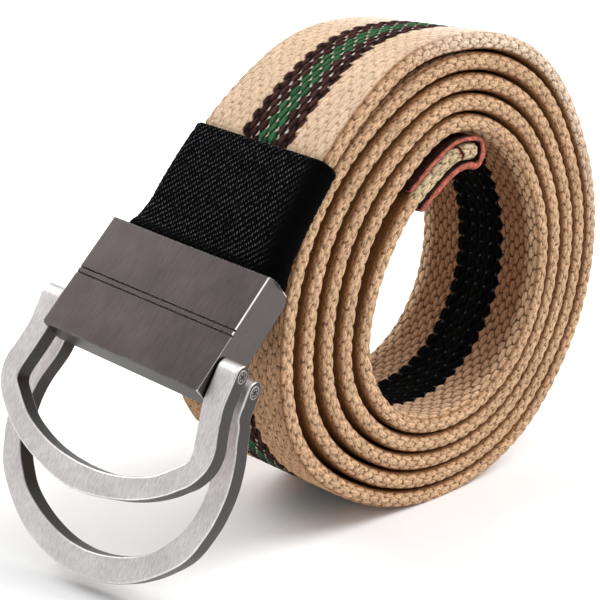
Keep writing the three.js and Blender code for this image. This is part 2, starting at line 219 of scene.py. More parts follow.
RUN = run_stations()
COIL_STATIONS = round(COIL_TURNS * TURN_STATIONS)
COIL_AT = COIL_TURNS * np.arange(COIL_STATIONS + 1) / COIL_STATIONS


def shift_to_frame():
    """The move from the roll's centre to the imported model's origin, in mm."""
    point, across, normal, _ = coil_frames(COIL_AT)
    outer = point + normal * STRAP_THICK / 2
    low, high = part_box("webbing_strap")
    x = high.x / MM - outer[:, 0].max()
    y = high.y / MM - STRAP_WIDTH / 2
    z = -(point[:, 2].min() - STRAP_THICK / 2 + FOOT_PRESS)
    return np.array([x, y, z])


SHIFT = shift_to_frame()
FLOOR = -SHIFT[2]


def belt_line():
    """Dense frames from the end in the clamp to the inner end of the roll, by arc length."""
    run = [np.array([row[k] for row in RUN[::-1]]) for k in (0, 2, 3, 4)]
    coil = coil_frames(np.linspace(0, COIL_TURNS, LINE_POINTS))
    points, across, normals, wide = (np.concatenate(pair) for pair in zip(run, coil))
    s = lengths_along(points)
    return s, points, across, normals, wide, s[len(RUN)]


LINE = belt_line()
CREST_S = LINE[5]
END_S = LINE[0][-1]


def catmull(s, known, values):
    """Smooth reading of rows of values at the arc lengths s."""
    slope = np.gradient(values, known, axis=0)
    i = np.clip(np.searchsorted(known, s) - 1, 0, len(known) - 2)
    h = (known[i + 1] - known[i])[:, None]
    t = ((s - known[i])[:, None]) / h
    a, b, ma, mb = values[i], values[i + 1], slope[i] * h, slope[i + 1] * h
    return ((2 * t**3 - 3 * t**2 + 1) * a + (t**3 - 2 * t**2 + t) * ma
            + (3 * t**2 - 2 * t**3) * b + (t**3 - t**2) * mb)


def frames_at(s):
    known, points, across, normal, wide, _ = LINE
    p = catmull(s, known, points)
    a = unit(catmull(s, known, across))
    n = catmull(s, known, normal)
    n = unit(n - (n * a).sum(1, keepdims=True) * a)
    w = np.interp(s, known, wide)
    return p, a, n, w


def s_of_turn(turn):
    """Arc length where the roll reaches a turn."""
    known = LINE[0] > CREST_S
    s, points = LINE[0][known], LINE[1][known]
    away = np.linalg.norm(points - coil_points(np.array([turn]))[0], axis=1)
    other_turn = np.abs(np.linspace(0, COIL_TURNS, len(points)) - turn) > 0.4
    return s[np.argmin(away + 50 * other_turn)]


def add_object(name, data):
    obj = bpy.data.objects.new(name, data)
    bpy.context.collection.objects.link(obj)
    return obj


def mesh_object(name, verts, faces, uv=None, tint=None):
    """A smooth mesh of quads from points in mm about the roll's centre."""
    mesh = bpy.data.meshes.new(name)
    co = (np.asarray(verts, float) + SHIFT) * MM
    mesh.vertices.add(len(co))
    mesh.vertices.foreach_set("co", co.astype(np.float32).ravel())
    faces = np.asarray(faces, np.int32)
    mesh.loops.add(faces.size)
    mesh.loops.foreach_set("vertex_index", faces.ravel())
    mesh.polygons.add(len(faces))
    mesh.polygons.foreach_set("loop_start", np.arange(0, faces.size, 4, dtype=np.int32))
    mesh.polygons.foreach_set("loop_total", np.full(len(faces), 4, np.int32))
    mesh.update(calc_edges=True)
    mesh.validate()
    mesh.shade_smooth()
    if uv is not None:
        layer = mesh.uv_layers.new(name="UVMap")
        layer.data.foreach_set("uv", np.asarray(uv, np.float32)[faces.ravel()].ravel())
    if tint is not None:
        attribute = mesh.color_attributes.new("tint", "FLOAT_COLOR", "POINT")
        attribute.data.foreach_set("color", np.asarray(tint, np.float32).ravel())
    return add_object(name, mesh)


def grid_faces(rows, cols):
    """Quads of a tube: rows of closed loops."""
    r = np.arange(rows - 1)[:, None] * cols
    c = np.arange(cols)[None, :]
    n = (c + 1) % cols
    return np.stack([r + c, r + n, r + cols + n, r + cols + c], -1).reshape(-1, 4)


def cap_faces(row, cols, turned, shift=0):
    """Quads across a closed loop: it is folded at its first corner or, shifted, before it."""
    i = np.arange(1 - shift, cols // 2 - 1)
    quads = row * cols + np.stack([i, i + 1, cols - i - 1 - shift, cols - i - shift], 1)
    return quads[:, ::-1] if turned else quads


def capped_tube(rows, cols, shift=0):
    """Quads of a tube with both ends closed."""
    return np.concatenate([grid_faces(rows, cols), cap_faces(0, cols, True, shift),
                           cap_faces(rows - 1, cols, False, shift)])


def face_outward(obj):
    """Turns a mesh's faces outward."""
    bm = bmesh.new()
    bm.from_mesh(obj.data)
    bmesh.ops.recalc_face_normals(bm, faces=bm.faces[:])
    bm.to_mesh(obj.data)
    bm.free()
    return obj


class Nodes:
    """Nodes of a material or world. Their values are numbers, colours or (node, output)."""

    def __init__(self, owner, shader="Principled BSDF"):
        owner.use_nodes = True
        self.owner = owner
        self.tree = owner.node_tree
        self.shader = self.tree.nodes[shader]

    @classmethod
    def named(cls, name):
        return cls(bpy.data.materials.new(name))

    def add(self, kind, **values):
        node = self.tree.nodes.new(kind)
        for key, value in values.items():
            setattr(node, key, value)
        return node

    def feed(self, value, socket):
        if isinstance(value, tuple) and len(value) == 2:
            self.tree.links.new(value[0].outputs[value[1]], socket)
        else:
            socket.default_value = value

    def look(self, **values):
        """Sets or links the shader's own sockets."""
        for key, value in values.items():
            self.feed(value, self.shader.inputs[key.replace("_", " ")])

    def math(self, operation, *values):
        node = self.add("ShaderNodeMath", operation=operation)
        for index, value in enumerate(values):
            self.feed(value, node.inputs[index])
        return node, "Value"

    def wave(self, coords, vector):
        """Cosine of the coordinates' phase along a vector given in turns per mm."""
        dot = self.add("ShaderNodeVectorMath", operation="DOT_PRODUCT")
        self.feed(coords, dot.inputs[0])
        dot.inputs[1].default_value = [2 * math.pi * v for v in (*vector, 0)]
        return self.math("COSINE", (dot, "Value"))

    def noise(self, coords, scale, detail, rough, stretch=None, lean=0.0):
        node = self.add("ShaderNodeTexNoise")
        node.inputs["Scale"].default_value = scale
        node.inputs["Detail"].default_value = detail
        node.inputs["Roughness"].default_value = rough
        if stretch:
            mapping = self.add("ShaderNodeMapping")
            mapping.inputs["Scale"].default_value = stretch
            mapping.inputs["Rotation"].default_value = (0, 0, lean)
            self.feed(coords, mapping.inputs["Vector"])
            coords = (mapping, "Vector")
        self.feed(coords, node.inputs["Vector"])
        return node, "Fac"

    def split(self, vector):
        node = self.add("ShaderNodeSeparateXYZ")
        self.feed(vector, node.inputs[0])
        return node

    def ramp(self, value, *stops):
        """Grays or colours at places from 0 to 1."""
        node = self.add("ShaderNodeValToRGB")
        elements = node.color_ramp.elements
        while len(elements) < len(stops):
            elements.new(0.5)
        for element, (position, color) in zip(elements, stops):
            element.position = position
            element.color = color if isinstance(color, tuple) else gray(color)
        self.feed(value, node.inputs["Fac"])
        return node, "Color"

    def mix(self, kind, factor, a, b):
        node = self.add("ShaderNodeMix", data_type="RGBA", blend_type=kind)
        for index, value in ((0, factor), (6, a), (7, b)):
            self.feed(value, node.inputs[index])
        return node, 2

    def bump(self, height, strength, distance, after=None):
        node = self.add("ShaderNodeBump")
        node.inputs["Strength"].default_value = strength
        node.inputs["Distance"].default_value = distance
        self.feed(height, node.inputs["Height"])
        if after:
            self.feed(after, node.inputs["Normal"])
        return node, "Normal"

    def uv(self):
        return self.add("ShaderNodeUVMap", uv_map="UVMap"), "UV"

    def place(self):
        return self.add("ShaderNodeTexCoord"), "Object"

    def tint(self, out="Color"):
        return self.add("ShaderNodeVertexColor", layer_name="tint"), out


def webbing_material():
    """Spun cotton: the tint of each knot, fine fibres along the strap and short slanted ticks.
    The tint's alpha says how strong the fibres and ticks are."""
    m = Nodes.named("webbing")
    uv, place = m.uv(), m.place()
    yarn = m.noise(uv, 1.0, 4, 0.65, (3.6, 1.0, 1))
    ticks = m.noise(uv, 1.0, 1, 0.4, (4.2, 1.5, 1), 0.5)
    fuzz = m.noise(place, 5200, 3, 0.7)
    patch = m.noise(place, 60, 3, 0.5)
    color = m.mix("MULTIPLY", m.math("MULTIPLY", m.tint("Alpha"), 0.85), m.tint(),
                  m.ramp(yarn, (0.34, 0.42), (0.5, 1.0), (0.68, 1.5)))
    color = m.mix("MULTIPLY", m.math("MULTIPLY", m.tint("Alpha"), 0.68), color,
                  m.ramp(ticks, (0.27, 0.22), (0.37, 1.0)))
    color = m.mix("MULTIPLY", 1.0, color, m.ramp(patch, (0.3, 0.92), (0.7, 1.06)))
    color = m.mix("MULTIPLY", 0.9, color, m.ramp(fuzz, (0.35, 0.8), (0.65, 1.16)))
    normal = m.bump(fuzz, 0.4, 0.00012, m.bump(yarn, 0.6, 0.00025))
    m.look(Base_Color=color, Roughness=0.92, Specular_IOR_Level=0.05, Normal=normal)
    return m.owner


def twill_material():
    """Black twill with fine pale specks along its ribs, where the tint shows them."""
    m = Nodes.named("black_twill")
    uv = m.uv()
    along = m.math("MULTIPLY", m.wave(uv, RIB_ALONG), 0.4)
    total = m.math("MULTIPLY_ADD", m.wave(uv, RIB_ACROSS), 0.55, along)
    total = m.math("MULTIPLY_ADD", m.noise(uv, 1.0, 2, 0.7, (2.6, 1.6, 1)), 3.4, total)
    pale = m.ramp(m.math("MULTIPLY", total, 0.33), (0.72, 0.0), (0.98, 1.0))
    shown = m.mix("MULTIPLY", 1.0, pale, m.tint())
    m.look(Base_Color=m.mix("MIX", shown, TWILL_BLACK, TWILL_SPECK), Roughness=0.9,
           Specular_IOR_Level=0.03,
           Normal=m.bump(m.noise(m.place(), 4200, 3, 0.7), 0.4, 0.0001))
    return m.owner


def leather_material():
    """Rough red-brown leather with pores and scuffed high spots."""
    m = Nodes.named("red_brown_leather")
    place = m.place()
    cells = m.add("ShaderNodeTexVoronoi", feature="DISTANCE_TO_EDGE")
    cells.inputs["Scale"].default_value = 1500
    m.feed(place, cells.inputs["Vector"])
    blot = m.noise(place, 700, 5, 0.75)
    fine = m.noise(place, 2600, 4, 0.75)
    color = m.mix("MULTIPLY", 1.0, m.tint(), m.ramp(blot, (0.36, 0.5), (0.5, 1.0), (0.66, 1.5)))
    color = m.mix("MULTIPLY", 0.9, color, m.ramp(fine, (0.38, 0.45), (0.5, 1.0), (0.62, 1.35)))
    m.look(Base_Color=color, Roughness=m.ramp(fine, (0.3, 0.6), (0.7, 0.8)),
           Specular_IOR_Level=0.2,
           Normal=m.bump(fine, 0.6, 0.0002, m.bump((cells, "Distance"), 0.5, 0.0003)))
    return m.owner


def worn_box(m, local, box):
    """Shares, in a part's own axes: near an edge of its box, and on its two across faces."""
    split = m.split(local)
    near = []
    for axis, low, high in zip("XYZ", *box):
        off = m.math("SUBTRACT", (split, axis), float(low + high) / 2)
        close = m.math("MULTIPLY_ADD", m.math("ABSOLUTE", off), 1 / WORN_WIDTH,
                       1 - float(high - low) / 2 / WORN_WIDTH)
        close[0].use_clamp = True
        near.append(close)
    total = m.math("ADD", m.math("ADD", near[0], near[1]), near[2])
    edge = m.math("MULTIPLY", m.math("SUBTRACT", total, 1.25), 2.2)
    edge[0].use_clamp = True
    return edge, near[1]


def brushed_material(name, axes, color, dark, lines, roughness, side=None, box=None):
    """Brushed metal. axes are the part's own; lines is the noise scale along and across the brush
    marks and through the face. With a side colour, painted shade, the tint says where the face's
    colour shows and where the painted shade does. With a box, its edges are worn and its flanks
    paler, painted light."""
    m = Nodes.named(name)
    turn = m.add("ShaderNodeMapping", vector_type="POINT")
    to_frame = Matrix([[axis[k] for axis in axes] for k in range(3)])
    turn.inputs["Rotation"].default_value = to_frame.inverted().to_euler()
    m.feed(m.place(), turn.inputs["Vector"])
    local = (turn, "Vector")
    brush = m.noise(local, 1.0, 3, 0.65, lines)
    base = m.ramp(m.noise(local, 130, 3, 0.5), (0.3, dark), (0.7, color))
    if box:
        edge, flank = worn_box(m, local, box)
        # The flanks take LIT_FLANK_COLOR, painted light.
        base = m.mix("MIX", edge, m.mix("MIX", flank, base, LIT_FLANK_COLOR), WORN_COLOR)
    if side:
        base = m.mix("MIX", m.tint(), side, base)
    marks = m.ramp(brush, (0.32, 0.74), (0.5, 1.0), (0.68, 1.16))
    m.look(Base_Color=m.mix("MULTIPLY", 0.8, base, marks), Metallic=1.0,
           Roughness=m.ramp(brush, (0.3, roughness - 0.06), (0.7, roughness + 0.08)),
           Normal=m.bump(brush, 0.2, 0.00003))
    return m.owner


# Knots of the weave: column pitch, period, half width, half length, lean and taper.
OUTER_KNOTS = (1.42, 3.85, 0.94, 2.05, 0.3, 0.1)
INNER_KNOTS = (1.42, 3.85, 0.9, 1.98, 0.0, 0.22)
EDGE_KNOTS = (1.3, 3.4, 0.86, 1.75, 0.3, 0.15)
# Height of a knot's relief in mm.
RUN_RELIEF = 0.17
OUTER_RELIEF = 0.3
INNER_RELIEF = 0.46
EDGE_RELIEF = 0.36
# Stripe: its middle's place, half width, scallops and the half width of the green knots inside.
STRIPE_OFF = 0.6
STRIPE_HALF = 5.9
OUTER_LOBE = 1.7
INNER_LOBE = 1.4
LOBE_LEAN = 0.35
NIGHT_GREEN_HALF = 2.6
OUTER_DASH = (0.28, 0.6)
INNER_DOT = (0.34, 0.34)
# The outer face turns browner and darker between these places, in mm past the crest: partly the
# weave's own tone, partly painted shade on the roll's lower turns.
LOW_FROM, LOW_TO = 90, 200
# The crest has a painted highlight: on the outer face from one place to the next, in mm past the
# crest's start, and on the edge between two fades.
TOP_FROM, TOP_TO = -15, 35
CREST_IN, CREST_OUT = (-25, 5), (90, 40)
# The inner face's colour meets the edge's between these half widths.
RIM_FROM, RIM_TO = 14.0, 17.0
# Size in mm, radians per mm along and across, and phase.
UNEVEN_ACROSS = ((0.10, 1.31, 0.9, 0.0), (0.07, 0.47, -1.7, 1.0))
UNEVEN_ALONG = ((0.16, 0.83, 1.9, 2.0), (0.12, 0.29, -2.6, 0.0))
# Seed, size and wave lengths of the strap's sideways sway and of its swelling.
SWAY = (3, 0.3, (31, 61, 97, 171))
SWELL = (5, 0.06, (23, 41, 67))
BORDER = 1.3
EDGE_ROUND = 1.8
EDGE_ARC = 1.86
TIP_SEAM_IN = 4.8
# Black twill: turns per mm over the strap's width and length, from rib to rib and along a rib.
RIB_ACROSS = (0.649, 0.560)
RIB_ALONG = (1.68, -0.53)

TWILL_BLACK = srgb(3, 3, 4)
TWILL_SPECK = srgb(96, 96, 98)
WORN_WIDTH = 0.4 * MM
WORN_COLOR = srgb(226, 220, 217)
# Painted light on the clamp's two side faces.
LIT_FLANK_COLOR = srgb(98, 93, 91)
# The *_DEEP colours darken the grooves between knots: the weave's own darker weft, deepened with
# painted shade.
RUN_PALE = tone(216, 188, 160)
TOP_HIGHLIGHT = tone(250, 240, 234)
RUN_DEEP = tone(158, 122, 88)
LOW_PALE = tone(192, 153, 119)
LOW_DEEP = tone(84, 50, 25)
EDGE_PALE = tone(218, 180, 144)
EDGE_CREST_HIGHLIGHT = tone(240, 214, 188)
EDGE_SHADE = tone(158, 112, 74)
EDGE_DEEP = tone(86, 52, 28)
# The inner face lit and shaded: INNER_LIT is painted light, INNER_SHADE painted shade.
INNER_LIT = tone(210, 174, 142)
INNER_SHADE = tone(148, 106, 76)
INNER_DEEP = tone(60, 32, 15)
BROWN = tone(76, 48, 43)
BROWN_DEEP = tone(16, 7, 7)
GREEN = tone(60, 104, 68)
GREEN_DEEP = tone(7, 22, 12)
CREAM = tone(232, 222, 204)
NIGHT = tone(2, 1, 1)
NIGHT_GREEN = tone(4, 9, 5)
NIGHT_DOT = tone(66, 68, 70)
HIDDEN_SHADE = tone(122, 82, 50)
TIP_CREAM = tone(214, 190, 154)
TIP_SEAM = tone(84, 28, 20)
LEATHER_SHADOW = tone(48, 17, 12)
LEATHER_RAW = tone(178, 96, 78)
THREAD = tone(70, 24, 18)


def uneven(x, s):
    """Small wandering of the weave's lattice, as hand-tight yarns have."""
    dx, ds = (sum(size * np.sin(by_s * s + by_x * x + phase) for size, by_s, by_x, phase in waves)
              for waves in (UNEVEN_ACROSS, UNEVEN_ALONG))
    return x + dx, s + ds


def knots(x, s, form):
    """Drop-shaped knots in a staggered lattice: height 0 to 1, distance from a border, column
    and a chance of 0 to 1 for each knot."""
    pitch, period, half_x, half_s, lean, taper = form
    x, s = uneven(x, s)
    first = np.full_like(x, -9.0)
    second = first.copy()
    column = np.zeros_like(x)
    row = np.zeros_like(x)
    nearest = np.round(x / pitch)
    for k in (-1, 0, 1):
        i = nearest + k
        du = x - i * pitch
        place = s - 0.5 * period * np.mod(i, 2) - lean * du
        j = np.round(place / period)
        dv = place - j * period
        for step in (0.0, 1.0):
            shift = step * np.where(dv > 0, 1.0, -1.0)
            reach = dv - shift * period
            width = half_x * (1 - taper * np.clip(reach / half_s, -1, 1))
            value = 1 - (du / width) ** 2 - (reach / half_s) ** 2
            better = value > first
            second = np.where(better, first, np.maximum(second, value))
            column = np.where(better, i, column)
            row = np.where(better, j + shift, row)
            first = np.where(better, value, first)
    chance = np.mod(np.sin(column * 12.9898 + row * 78.233) * 43758.5453, 1.0)
    border = np.clip((first - second) / BORDER, 0, 1)
    return np.sqrt(np.clip(first, 0, 1)), border, column, chance


def raised(height, border, chance, level, spread, groove):
    """Relief of the knots as a share of their height, with a groove at their borders."""
    return height - level + spread * chance - groove * (1 - border) ** 2


def in_stripe(x, s, lobe, lean):
    """Whether a point is in the stripe, whose sides bulge at each knot."""
    lobes = np.sqrt(np.abs(np.cos(np.pi * (s - lean * np.abs(x)) / OUTER_KNOTS[1])))
    return np.abs(x) < STRIPE_HALF + lobe * lobes


def blend(a, b, t):
    """Mix of two colours or of two rows of colours by a row of shares."""
    return a * (1 - t[:, None]) + b * t[:, None]


def dashes(x, s, colors, form, columns, size, color, share):
    """Small ovals of a colour where two knots of a column meet."""
    pitch, period, _, _, lean, _ = form
    x, s = uneven(x, s)
    for i in columns:
        du = x - i * pitch
        dv = s - 0.5 * period * (1 + i % 2) - lean * du
        dv = dv - np.round(dv / period) * period
        inside = np.clip(1.6 * (1 - (du / size[0]) ** 2 - (dv / size[1]) ** 2), 0, 1)
        colors = blend(colors, color, share * inside)
    return colors


def outer_look(u, s):
    """The outer face: pale and flat on the run, browner round the roll, partly painted shade, with
    its stripe.
    """
    x = u + STRIPE_OFF
    height, border, column, chance = knots(x, s, OUTER_KNOTS)
    shade = smoothstep(0.7 * border + 0.3 * height, 0.08, 0.45)
    # Browner and darker round the roll: the weave's own tone with painted shade on the lower
    # turns.
    low = smoothstep(s, CREST_S + LOW_FROM, CREST_S + LOW_TO)
    # Painted highlight on the outer face at the crest.
    top = blend(RUN_PALE, TOP_HIGHLIGHT, smoothstep(s, CREST_S + TOP_FROM, CREST_S + TOP_TO))
    # Grooves between knots take the DEEP colours: weft tone with painted shade.
    colors = blend(blend(RUN_DEEP, LOW_DEEP, low), blend(top, LOW_PALE, low), shade)
    colors = colors * (0.92 + 0.14 * chance[:, None])
    brown_share = smoothstep(height, 0.4, 1.0) * border * (0.5 + 0.5 * chance)
    green_share = smoothstep(height, 0.3, 0.95) * border * (0.6 + 0.4 * chance)
    striped = in_stripe(x, s, OUTER_LOBE, LOBE_LEAN)
    # The stripe's grooves darken to BROWN_DEEP and GREEN_DEEP: weft tone with painted shade.
    colors = np.where(striped[:, None], blend(BROWN_DEEP, BROWN, brown_share), colors)
    middle = np.abs(column) <= 1
    colors = np.where(middle[:, None], blend(GREEN_DEEP, GREEN, green_share), colors)
    colors = dashes(x, s, colors, OUTER_KNOTS, range(-3, 4), OUTER_DASH, CREAM, 0.8)
    depth = np.where(striped, OUTER_RELIEF, RUN_RELIEF + (OUTER_RELIEF - RUN_RELIEF) * low)
    return depth * raised(height, border, chance, 0.9, 0.12, 0.5), colors


def inner_look(u, s):
    """The inner face: pointed knots and a dark stripe with rows of small dots."""
    x = u + STRIPE_OFF
    height, border, _, chance = knots(x, s, INNER_KNOTS)
    shade = smoothstep(0.6 * border + 0.4 * height, 0.12, 0.72) * (0.84 + 0.16 * chance)
    rim = smoothstep(np.abs(u), RIM_FROM, RIM_TO)
    # From turn 4.3 to 4.6 the inner face goes from painted shade to painted light.
    lit_part = smoothstep(s, s_of_turn(4.3), s_of_turn(4.6))
    pale = blend(blend(INNER_SHADE, INNER_LIT, lit_part), EDGE_PALE, rim)
    green = smoothstep(height, 0.4, 1.0) * (np.abs(x) < NIGHT_GREEN_HALF)
    night = dashes(x, s, blend(NIGHT, NIGHT_GREEN, green), INNER_KNOTS, range(-4, 5, 2),
                   INNER_DOT, NIGHT_DOT, 0.9)
    striped = in_stripe(x, s, INNER_LOBE, 0)
    # Grooves between knots take INNER_DEEP: weft tone with painted shade.
    colors = np.where(striped[:, None], night, blend(INNER_DEEP, pale, shade))
    return INNER_RELIEF * raised(height, border, chance, 0.76, 0.08, 0.35), colors


def edge_look(e, s, sine):
    """Round the edge: short knots over the cord, with painted shade where the turns meet and a
    painted highlight on the crest. The strap's very end is paler, with a dark stitched seam across
    it."""
    height, border, _, chance = knots(e, s, EDGE_KNOTS)
    shade = smoothstep(0.6 * border + 0.4 * height, 0.0, 0.66) * (0.84 + 0.16 * chance)
    # Painted highlight on the crest, strongest on the edge's outer side.
    crest = smoothstep(s - CREST_S, *CREST_IN) * smoothstep(s - CREST_S, *CREST_OUT)
    pale = blend(EDGE_PALE, EDGE_CREST_HIGHLIGHT, crest)
    # EDGE_SHADE is painted shade where the turns meet; on the crest's outer side it gives way to
    # the painted highlight.
    dark = blend(EDGE_SHADE, EDGE_CREST_HIGHLIGHT, 0.8 * crest * (sine > 0))
    top = blend(pale, dark, smoothstep(np.abs(sine), 0.45, 0.95))
    top = blend(top, TIP_CREAM, smoothstep(s, END_S - TIP_LENGTH, END_S - TIP_LENGTH + 2))
    seam = smoothstep(np.abs(s - END_S + TIP_SEAM_IN + 0.3 * e), 0.75, 0.35)
    # Grooves between knots take EDGE_DEEP: weft tone with painted shade.
    colors = blend(blend(EDGE_DEEP, top, shade), TIP_SEAM, seam)
    return EDGE_RELIEF * raised(height, border, chance, 0.76, 0.08, 0.35), colors


def section_loop(half, fine_outer, fine_inner, fine_edge):
    """Closed loop of (u, angle): angle 90 is the outer face, 0 the far edge."""
    quarter = np.pi / 2
    rows = [(u, quarter) for u in np.linspace(half, -half, fine_outer)]
    rows += [(-half, t) for t in np.linspace(quarter, 3 * quarter, fine_edge)[1:-1]]
    rows += [(u, -quarter) for u in np.linspace(-half, half, fine_inner)]
    rows += [(half, t) for t in np.linspace(-quarter, quarter, fine_edge)[1:-1]]
    return np.array(rows)


def wander(s, seed, size, lengths):
    """Small smooth unevenness along the strap."""
    local = np.random.default_rng(seed)
    total = np.zeros_like(s)
    for length in lengths:
        total += np.sin(2 * np.pi * s / length + local.uniform(0, 6.28)) * local.uniform(0.6, 1.0)
    return size * total / len(lengths)


def strap_piece(name, s0, s1, step, fine_outer, fine_inner, fine_edge):
    """A length of the strap. A face with few columns is hidden, so it has no relief and takes one
    flat colour, painted shade for the gaps between turns.
    """
    count = int(round((s1 - s0) / step)) + 1
    s = np.linspace(s0, s1, count)
    p, a, n, wide = frames_at(s)
    section = section_loop(STRAP_WIDTH / 2 - EDGE_ROUND, fine_outer, fine_inner, fine_edge)
    cols = len(section)
    su = np.tile(section[:, 0], count)
    angle = np.tile(section[:, 1], count)
    ss = np.repeat(s, cols)
    cosine, sine = np.cos(angle), np.sin(angle)
    cosine = np.where(np.abs(cosine) < 1e-6, 0, cosine)
    u_total = su + cosine * EDGE_ROUND
    arc = EDGE_ARC * (np.arcsin(np.clip(sine, -1, 1)) + np.pi / 2)
    round_edge = np.where(cosine == 0, 0, arc)
    x = np.where(cosine == 0, su, np.sign(cosine) * (np.abs(su) + round_edge))
    out_relief, out_color = outer_look(u_total, ss)
    in_relief, in_color = inner_look(u_total, ss)
    edge_relief, edge_color = edge_look(round_edge - EDGE_ARC * np.pi / 2, ss, sine)
    w_out = smoothstep(sine, *OUTER_SEAM)
    w_in = smoothstep(-sine, *INNER_SEAM)
    w_edge = 1 - w_out - w_in
    relief = w_out * out_relief * (fine_outer > MANY) + w_in * in_relief * (fine_inner > MANY)
    relief = relief + w_edge * edge_relief
    relief = relief - SLEEVE_SQUEEZE * smoothstep(ss, SLEEVE_S1 + 1.2, SLEEVE_S1 + 0.2)
    # Hidden faces take HIDDEN_SHADE, painted shade in the gaps between turns.
    out_color = out_color if fine_outer > MANY else HIDDEN_SHADE
    in_color = in_color if fine_inner > MANY else HIDDEN_SHADE
    colors = out_color * w_out[:, None] + in_color * w_in[:, None] + edge_color * w_edge[:, None]
    dw = np.sign(sine) * np.abs(sine) ** 0.9 * STRAP_THICK / 2
    sway = np.repeat(wander(s, *SWAY), cols)
    swell = np.repeat(wander(s, *SWELL), cols)
    u = u_total + su * (np.repeat(wide, cols) - 1) + sway * np.abs(cosine) + relief * cosine
    w = dw + relief * sine + swell * np.sign(sine) * (np.abs(sine) > 0.9)
    p, a, n = (np.repeat(rows, cols, 0) for rows in (p, a, n))
    points = p + a * u[:, None] + n * w[:, None]
    points[:, 2] = np.maximum(points[:, 2], FLOOR + FLOOR_GAP)
    grain = 1 - 0.5 * w_out * smoothstep(ss, CREST_S + LOW_TO, CREST_S + LOW_FROM)
    tint = np.concatenate([colors, grain[:, None]], 1)
    return mesh_object(name, points, grid_faces(count, cols), np.stack([x, ss], 1), tint)


def end_plug(name, s_end):
    """Closes the strap's cut end with a slightly domed face."""
    section = section_loop(STRAP_WIDTH / 2 - EDGE_ROUND, 40, 40, 9)
    cols = len(section)
    p, a, n, wide = frames_at(np.array([s_end]))
    su, angle = section[:, 0], section[:, 1]
    ahead = np.cross(a[0], n[0])
    loops = []
    for share, squeeze, push in ((0.97, 0.995, 0), (0.9, 0.985, 0.25), (0.6, 0.985, 0.35),
                                 (0.2, 0.985, 0.38)):
        u = (su * wide[0] + np.cos(angle) * EDGE_ROUND) * squeeze
        w = np.sin(angle) * STRAP_THICK / 2 * share
        loops.append(p[0] + a[0] * u[:, None] + n[0] * w[:, None] + ahead * push)
    points = np.concatenate(loops)
    faces = np.concatenate([grid_faces(len(loops), cols), cap_faces(len(loops) - 1, cols, False)])
    # The cut end takes EDGE_DEEP, the groove colour with painted shade.
    tint = np.tile([*EDGE_DEEP, 1.0], (len(points), 1))
    return face_outward(mesh_object(name, points, faces, points[:, 1:], tint))


def hand_in(obj, material, body, node):
    """Dresses a piece, sets it on its body's empty and hides the CAD node it stands for."""
    if material:
        obj.data.materials.append(material)
    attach(obj, body)
    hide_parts(node)


# The edge's look gives way to each face's between these sines of the section's angle.
OUTER_SEAM, INNER_SEAM = (0.86, 0.995), (0.8, 0.99)
FINE = 1.0
MANY = 40
HIDDEN_COLUMNS = 8
OUTER_STEP = 0.38
MIDDLE_STEP = 0.4
INNER_STEP = 0.36
SLEEVE_SQUEEZE = 0.3
FLOOR_GAP = 0.02
# Arc length where the visible strap starts in the clamp, and how far the outer and the inner
# pieces, whose faces have relief, reach past the turns that hide them.
POCKET_START = 1.0
OUTER_OVER = 6
INNER_OVER = 10
WIDE_COLUMNS = int(116 / FINE)
EDGE_COLUMNS = int(19 / math.sqrt(FINE))
SLEEVE_S0 = FIT_GAP + POCKET_DEPTH
SLEEVE_S1 = SLEEVE_S0 + SLEEVE_LENGTH
OUTER_CUTS = np.linspace(POCKET_START, s_of_turn(1) + OUTER_OVER, 4)
INNER_CUTS = np.linspace(s_of_turn(4) - INNER_OVER, END_S, 3)
MIDDLE_CUTS = np.linspace(OUTER_CUTS[3], INNER_CUTS[0], 4)
webbing = webbing_material()
for names, cuts, step, outer, inner in (
    (("outer_run", "outer_turn_a", "outer_turn_b"), OUTER_CUTS, OUTER_STEP, WIDE_COLUMNS,
     HIDDEN_COLUMNS),
    (("second_turn", "third_turn", "fourth_turn"), MIDDLE_CUTS, MIDDLE_STEP, 6, 6),
    (("inner_turn_a", "inner_turn_b"), INNER_CUTS, INNER_STEP, HIDDEN_COLUMNS, WIDE_COLUMNS),
):
    for k, name in enumerate(names):
        piece = strap_piece("webbing_" + name, cuts[k], cuts[k + 1], step * FINE, outer, inner,
                            EDGE_COLUMNS)
        hand_in(piece, webbing, "belt", "webbing_strap")
hand_in(end_plug("webbing_inner_end", END_S), webbing, "belt", "webbing_strap")


def ribbon_loop(half_u, half_w, rounding, face_count, edge_count):
    """Closed loop of a flat ribbon: u, w and the outward direction's two shares."""
    u, angle = section_loop(half_u - rounding, face_count, face_count, edge_count).T
    cosine = np.where(np.abs(np.cos(angle)) < 1e-6, 0, np.cos(angle))
    return np.stack([u + cosine * rounding, half_w * np.sin(angle), cosine, np.sin(angle)], 1)


SLEEVE_INTO = 0.35
SLEEVE_STEP = 0.28
SLEEVE_COLUMNS = 130
SLEEVE_ROUND = 1.7
SLEEVE_ARC = 2.8
HEM_LENGTH = 1.5
HEM_FADE = 0.4
HEM_RISE = 0.22
HEM_CALM = 0.75
RIB_HEIGHT = 0.07
RIB_STEP = 0.03
# The specks fade towards the far and the near edge between these places round the sleeve.
CALM_FAR = (-18.0, -12.5)
CALM_NEAR = (20.5, 17.5)
LIP_LENGTH = 0.7
LIP_THINNER = 0.55
STITCH_IN = 2.0
STITCH_WIDTH = 0.45
STITCH_DEPTH = 0.12


